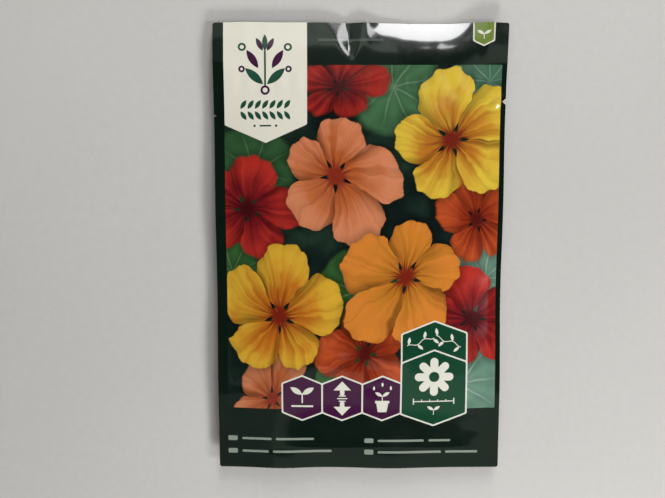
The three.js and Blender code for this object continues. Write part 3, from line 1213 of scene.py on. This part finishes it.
def backPrint():
    # the back is seen from below, so its print runs the other way along X
    material, where, facing = newMaterial("backPrint", onSheet=True)
    x, y, _ = parts(where)
    place = (x * -1, y)
    drift = grain(where, filmFinish["wornScale"])
    marks = infoMarks() + calendarMarks()
    printed = layInk(bareFilm(drift), place, marks)
    print("back print:", len(marks), "marks")
    return printedFilm(material, where, facing, printed, -1)


cork = {
    "ridge": ink("c2a878"), "wrinkle": ink("7a5a36"), "netScale": 0.55, "netEdge": (0.35, 0.02),
    "speck": ink("5d4328"), "speckSpan": (0.35, 0.7), "speckShare": 0.55,
    "grain": (1.6, 4, 0.65), "roughness": 0.75, "grainRoughness": 0.2, "bump": 0.2 * mm, "grainBump": 0.4,
}


def dryHusk():
    # corky and pale on the ridges, brown in the wrinkles
    material, where, _ = newMaterial("dryHusk")
    tree = material.node_tree
    shader = tree.nodes["Principled BSDF"]
    net = newNode(tree, "TexVoronoi", feature="DISTANCE_TO_EDGE")
    net.inputs["Scale"].default_value = cork["netScale"]
    plug(where, net.inputs["Vector"])
    ridge = ramp(Wire(tree, net.outputs["Distance"]), *cork["netEdge"])
    specks = grain(where, *cork["grain"])
    color = blend(ridge, cork["wrinkle"], cork["ridge"])
    color = blend(ramp(specks, *cork["speckSpan"]) * cork["speckShare"], color, cork["speck"])
    plug(color, shader.inputs["Base Color"])
    plug(cork["roughness"] + specks * cork["grainRoughness"], shader.inputs["Roughness"])
    roughen(shader, ridge + specks * cork["grainBump"], cork["bump"])
    return material


# the films take their prints, and the seeds one finish
dress(frontFilm, frontPrint())
dress(backFilm, backPrint())
huskFinish = dryHusk()
for seed in seeds:
    dress(seed, huskFinish)


# the studio: a pale floor, soft lamps and the camera. A lamp has its place, the spot on the floor that
# it faces, its size and its power, and the glows show only as reflections in the dark film.
studio = {
    "floor": (0.565, 0.547, 0.524),
    "floorSize": 4,
    "floorRoughness": 0.85,
    "speck": (0.35, 3, 0.6),
    "speckShare": 0.4,
    "cloudScale": 0.006,
    "cloudShare": 0.6,
    "shadeSpan": (0.35, 0.65),
    "shades": (0.94, 1.0),
    "world": 0.02,
    "glowTint": (0.88, 1, 0.86),
    "lamps": {
        "headerSoftbox": ((0.075, 0.6, 0.3), (0.02, 0.08), (0.24, 0.28), 2.9),
        "foldLight": ((0.225, 0.5, 0.5), (0, 0.08), (0.15, 0.12), 0.5),
        "headerGlow": ((-0.02, 0.53, 0.62), (-0.02, 0.08), (0.25, 0.14), 0.09),
        "flankGlow": ((-0.275, 0.52, 0.5), (-0.275, 0.08), (0.31, 0.12), 0.05),
        "footGlow": ((-0.05, 0.39, 0.62), (-0.05, 0.08), (0.3, 0.2), 0.023),
        "rightGlow": ((0.285, 0.285, 0.6), (0.285, 0.07), (0.22, 0.12), 0.037),
        "lowGlow": ((0.14, -0.28, 0.42), (0.14, -0.08), (0.54, 0.08), 0.037),
        "lowGlowEnd": ((-0.2, -0.28, 0.42), (-0.2, -0.08), (0.14, 0.08), 0.005),
        "key": ((1.45, -0.6, 1.1), (0, 0), (0.45, 0.45), 13.5),
        "lowClose": ((0.25, -0.6, 0.27), (0.02, -0.02), (0.16, 0.12), 4.1),
        "lowLeft": ((-0.62, -1.5, 0.9), (0, 0), (0.6, 0.6), 4.5),
        "leftFill": ((-1.05, 0.45, 0.8), (0, 0), (0.6, 0.6), 0.8),
    },
}
camera = {
    "lens": 28.8,
    "sensor": 36,
    "at": Vector((-9.4, 19.0, 202.6)) * mm,
    "pitch": math.radians(-5.19),
    "yaw": math.radians(0.224),
    "nearest": 0.005,
}


def paleFloor():
    material, where, _ = newMaterial("paleFloor")
    shader = material.node_tree.nodes["Principled BSDF"]
    speck = grain(where, *studio["speck"])
    cloud = grain(where, studio["cloudScale"])
    mottle = speck * studio["speckShare"] + cloud * studio["cloudShare"]
    light = ramp(mottle, *studio["shadeSpan"], *studio["shades"])
    plug(blend(light, black, (*studio["floor"], 1)), shader.inputs["Base Color"])
    shader.inputs["Roughness"].default_value = studio["floorRoughness"]
    return material


def makeStudio():
    scene = bpy.context.scene
    deselectAll()
    bpy.ops.mesh.primitive_plane_add(size=studio["floorSize"])
    floor = newPiece("floor")
    dress(floor, paleFloor())
    for name, (at, aim, size, power) in studio["lamps"].items():
        data = bpy.data.lights.new(name, "AREA")
        data.shape = "RECTANGLE"
        data.size, data.size_y = size
        data.energy = power
        data.color = studio["glowTint"] if "Glow" in name else (1, 1, 1)
        light = bpy.data.objects.new(name, data)
        light.location = at
        towards = Vector((*aim, 0)) - light.location
        light.rotation_euler = towards.to_track_quat("-Z", "Y").to_euler()
        scene.collection.objects.link(light)
    world = bpy.data.worlds.new("dimRoom")
    world.use_nodes = True
    world.node_tree.nodes["Background"].inputs["Color"].default_value = (*[studio["world"]] * 3, 1)
    scene.world = world
    scene.view_settings.view_transform = "Standard"


def makeCamera():
    data = bpy.data.cameras.new("camera")
    data.lens = camera["lens"]
    data.sensor_width = camera["sensor"]
    data.clip_start = camera["nearest"]
    view = bpy.data.objects.new("camera", data)
    view.location = camera["at"]
    view.rotation_euler = (camera["pitch"], camera["yaw"], 0)
    bpy.context.scene.collection.objects.link(view)
    bpy.context.scene.camera = view


makeStudio()
makeCamera()
